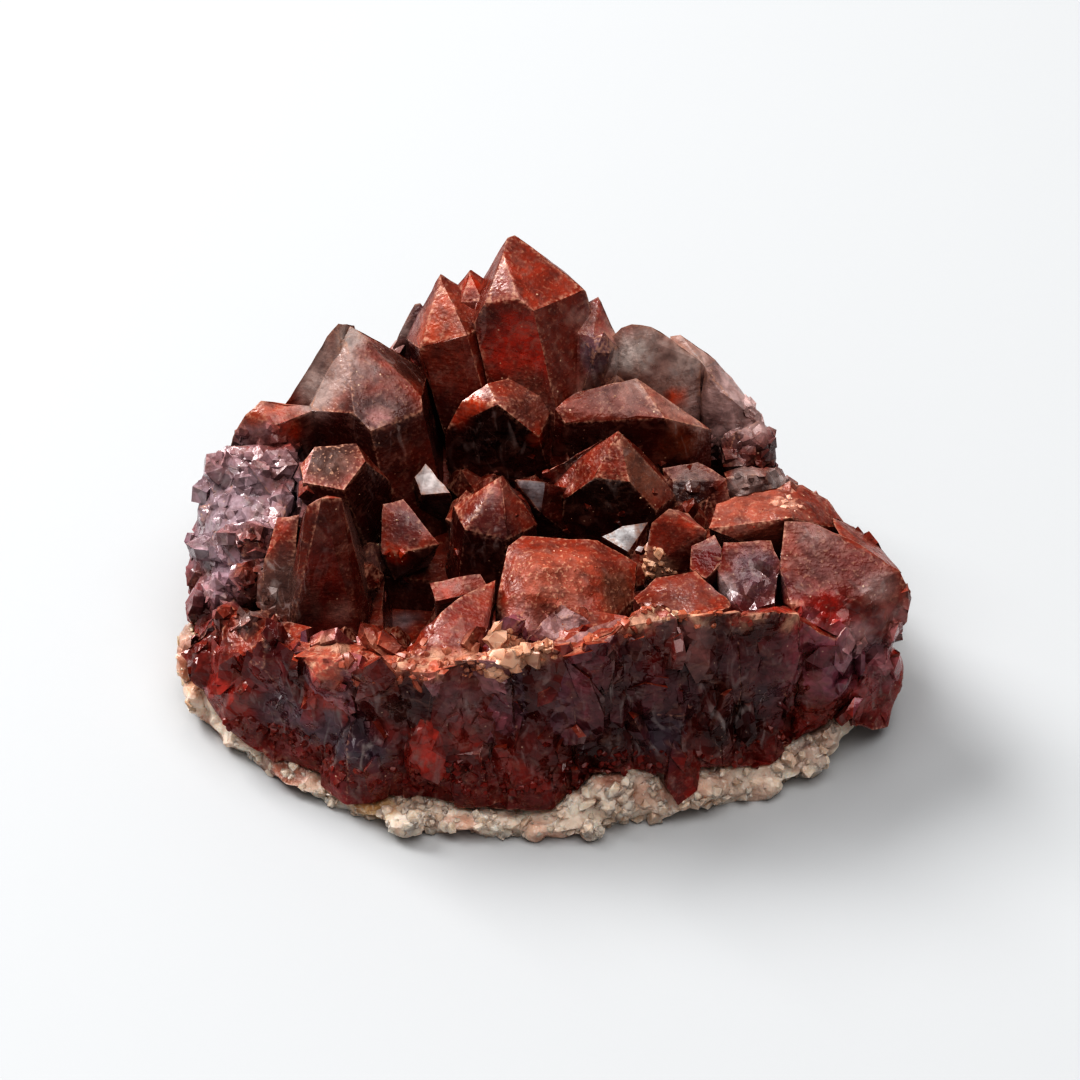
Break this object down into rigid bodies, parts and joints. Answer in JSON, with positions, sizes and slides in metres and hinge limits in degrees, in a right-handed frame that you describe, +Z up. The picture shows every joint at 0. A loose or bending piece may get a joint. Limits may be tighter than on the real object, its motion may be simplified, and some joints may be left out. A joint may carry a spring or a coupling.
{
  "type": "quartz cluster",
  "caption": "Natural cluster of red and smoky quartz points grown together on a pale matrix that is cut flat underneath to stand on.",
  "frame": {"origin": "middle of the footprint of the bounding box, on the cut underside of the matrix", "axes": "+X towards the large crystal that lies at the right, +Y towards the tall crystals at the back, +Z up"},
  "size_m": [0.0699, 0.0557, 0.0326],
  "materials": {
    "quartz": "glossy, translucent red-brown, smoky and purple quartz",
    "matrix": "dull to satin, slightly translucent cream chalcedony and fine quartz"
  },
  "bodies": {
    "root": {"crystal_cluster": "quartz", "matrix": "matrix"}
  },
  "joints": []
}
